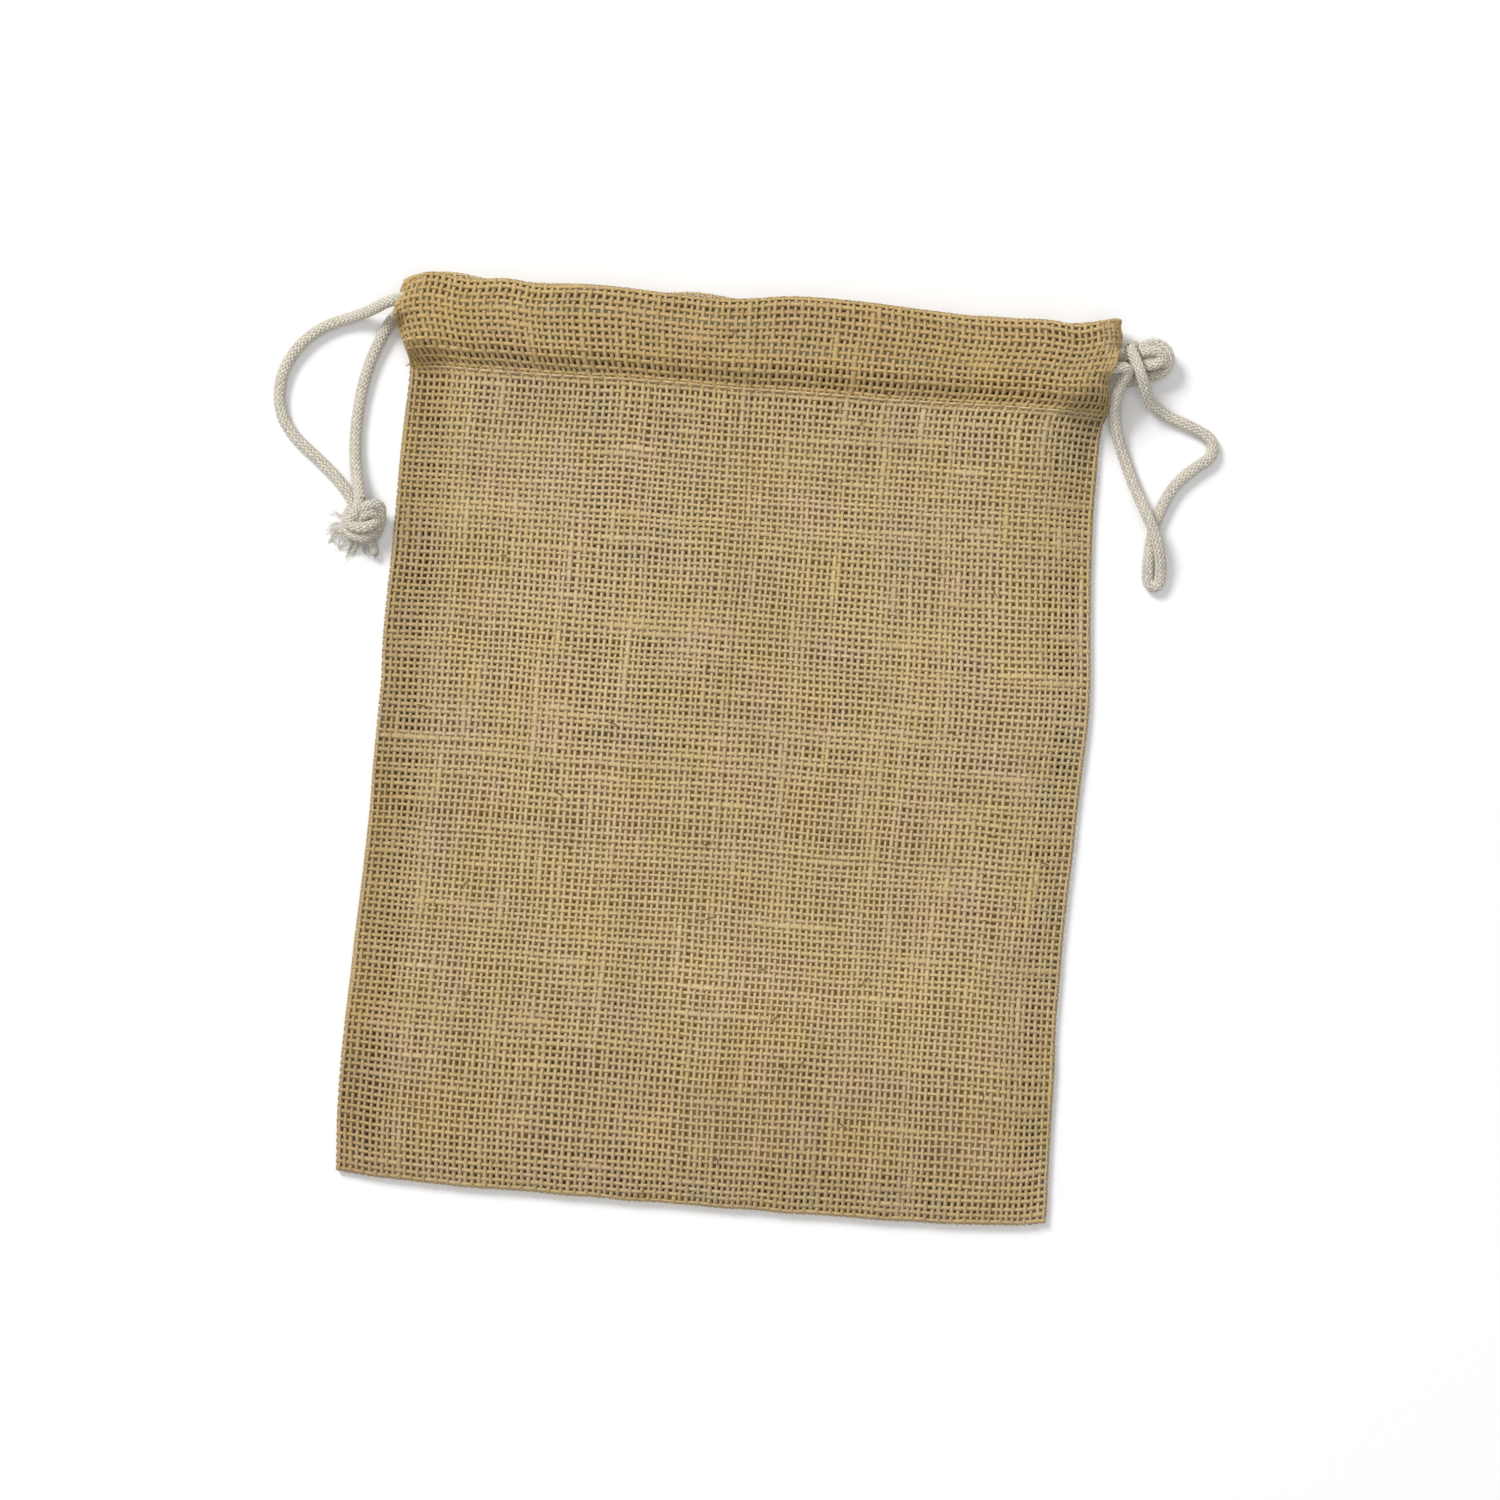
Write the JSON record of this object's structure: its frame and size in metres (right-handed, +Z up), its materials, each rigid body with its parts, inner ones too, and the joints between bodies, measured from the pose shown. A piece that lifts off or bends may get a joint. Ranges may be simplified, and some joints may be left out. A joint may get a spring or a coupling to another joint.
{
  "type": "drawstring gift pouch",
  "caption": "Flat jute cloth pouch with a stitched hem at its mouth, drawn shut by braided cotton cords that leave the hem at both sides and end in knots.",
  "frame": {"origin": "on the table under the middle of the pouch, which lies on its back panel", "axes": "+X across the pouch to the side where the long cord loop comes out, +Y from the bottom seam to the mouth, +Z up from the back panel to the front panel"},
  "size_m": [0.266, 0.25, 0.016],
  "materials": {
    "jute": "coarse open plain weave, matt, golden brown",
    "cotton_cord": "natural off-white round braid, matt",
    "hem_thread": "pale spun sewing thread, matt"
  },
  "bodies": {
    "pouch": {"front_panel": "jute", "back_panel": "jute", "front_hem": "jute", "back_hem": "jute", "left_seam_allowance": "jute", "right_seam_allowance": "jute", "bottom_seam_allowance": "jute", "left_seam_thread": "hem_thread", "right_seam_thread": "hem_thread", "bottom_seam_thread": "hem_thread", "front_hem_stitches": "hem_thread", "back_hem_stitches": "hem_thread"},
    "left_drawcord": {"left_cord_front_run": "cotton_cord", "left_cord_back_run": "cotton_cord", "left_cord_bight": "cotton_cord", "left_cord_outer_strand": "cotton_cord", "left_cord_inner_strand": "cotton_cord", "left_cord_knot": "cotton_cord", "left_cord_frayed_ends": "cotton_cord"},
    "right_drawcord": {"right_cord_front_run": "cotton_cord", "right_cord_back_run": "cotton_cord", "right_cord_bight": "cotton_cord", "right_cord_loop_strand": "cotton_cord", "right_cord_short_strand": "cotton_cord", "right_cord_knot": "cotton_cord", "right_cord_frayed_ends": "cotton_cord"}
  },
  "joints": [
    {"name": "left_cord_pull", "type": "slide", "parent": "pouch", "child": "left_drawcord", "axis": [-1, 0, 0], "range_m": [0, 0.045], "deforming": ["front_hem", "back_hem"]},
    {"name": "right_cord_pull", "type": "slide", "parent": "pouch", "child": "right_drawcord", "axis": [1, 0, 0], "range_m": [0, 0.045], "deforming": ["front_hem", "back_hem"]}
  ]
}
